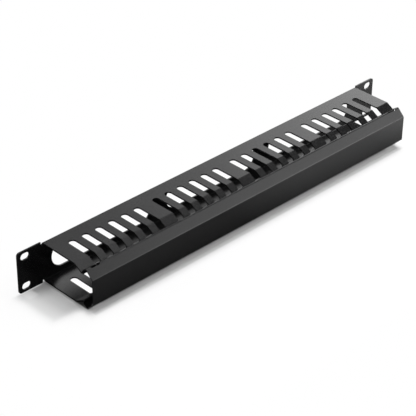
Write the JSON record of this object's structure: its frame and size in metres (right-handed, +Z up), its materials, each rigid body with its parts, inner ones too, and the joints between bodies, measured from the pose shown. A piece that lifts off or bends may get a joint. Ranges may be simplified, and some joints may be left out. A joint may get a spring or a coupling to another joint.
{
  "type": "horizontal rack cable manager",
  "caption": "Black steel horizontal cable manager for a 19 inch rack: a slotted finger trough with rack ears and back openings, and a clip-on front cover.",
  "frame": {"origin": "centre of the four rack holes, on the back face of the ears, which lies against the rack", "axes": "+Y to the back of the rack, +X along the rack's width to the right seen from the front, +Z up"},
  "size_m": [0.4826, 0.0694, 0.044],
  "materials": {
    "duct_steel": "black powder coat, semi-gloss",
    "cover_steel": "black powder coat, semi-gloss"
  },
  "bodies": {
    "duct": {"duct_frame": "duct_steel"},
    "cover": {"front_cover": "cover_steel"}
  },
  "joints": [
    {"name": "cover_slide", "type": "slide", "parent": "duct", "child": "cover", "axis": [0, -1, 0], "range_m": [0, 0.04]}
  ]
}
